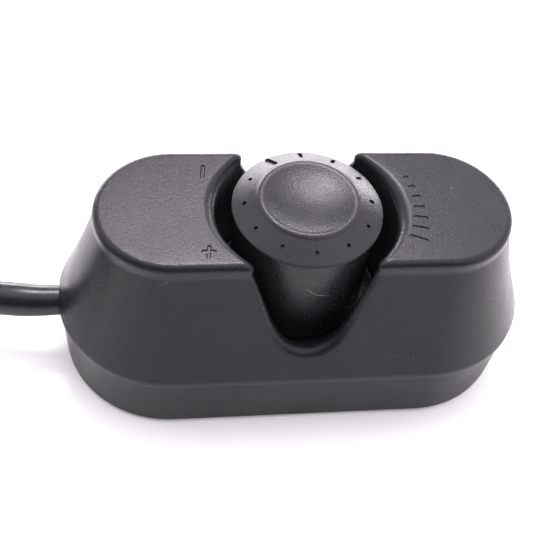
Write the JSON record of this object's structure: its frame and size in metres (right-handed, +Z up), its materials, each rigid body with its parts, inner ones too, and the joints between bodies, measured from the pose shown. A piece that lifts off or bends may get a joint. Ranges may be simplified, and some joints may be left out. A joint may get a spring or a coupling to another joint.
{
  "type": "wired volume remote",
  "caption": "Wired desk remote for a subwoofer: a round-ended flared housing, a finger-grip volume knob standing in a notched well, and a lead that ends in a jack plug.",
  "frame": {"origin": "on the table, under the knob's axis and the middle of the housing", "axes": "+Z up, -Y the front with the near finger notch, +X away from the lead; the housing's long axis lies along X"},
  "size_m": [0.2272, 0.0478, 0.0367],
  "materials": {
    "shell_plastic": "fine spark texture, dark charcoal",
    "base_plastic": "fine spark texture, dark charcoal",
    "knob_plastic": "very fine texture, dark charcoal",
    "lead_jacket": "smooth, half gloss, black",
    "foot_rubber": "matt black",
    "grommet_rubber": "smooth black",
    "screw_steel": "zinc plated",
    "spring_steel": "bright",
    "case_steel": "tinned, bright",
    "nut_steel": "nickel plated",
    "bushing_brass": "nickel plated brass",
    "shaft_aluminium": "turned",
    "wiper_bronze": "spring bronze",
    "rotor_plastic": "ivory nylon",
    "wafer_phenolic": "brown phenolic paper",
    "board_laminate": "green solder mask",
    "clamp_plastic": "black nylon",
    "core_red": "red insulation",
    "core_white": "white insulation",
    "core_black": "black insulation",
    "tie_plastic": "matt black strap",
    "plug_plastic": "moulded black",
    "plug_metal": "nickel plated",
    "insulator_plastic": "black"
  },
  "bodies": {
    "root": {"upper_shell": "shell_plastic", "base_cover": "base_plastic", "pot_bushing": "bushing_brass", "pot_case": "case_steel", "pot_wafer": "wafer_phenolic", "pot_terminals": "case_steel", "pot_washer": "nut_steel", "pot_nut": "nut_steel", "circuit_board": "board_laminate", "board_screws": "screw_steel", "housing_screws": "screw_steel", "foot_pads": "foot_rubber", "cable_grommet": "grommet_rubber", "lead_end": "lead_jacket", "clamp_bar": "clamp_plastic", "clamp_screws": "screw_steel", "core_red": "core_red", "core_white": "core_white", "core_black": "core_black", "cord": "lead_jacket", "cord_coil": "lead_jacket", "cord_tie": "tie_plastic", "cord_tail": "lead_jacket", "plug_body": "plug_plastic", "plug_contacts": "plug_metal", "plug_insulators": "insulator_plastic"},
    "knob": {"volume_knob": "knob_plastic", "hub_spring_ring": "spring_steel", "pot_shaft": "shaft_aluminium", "pot_rotor": "rotor_plastic", "wiper_springs": "wiper_bronze", "shaft_clip": "spring_steel"}
  },
  "joints": [
    {"name": "knob_turn", "type": "hinge", "parent": "root", "child": "knob", "pos_m": [0, 0, 0.0156], "axis": [0, 0, 1], "range_deg": [-270, 30]}
  ]
}
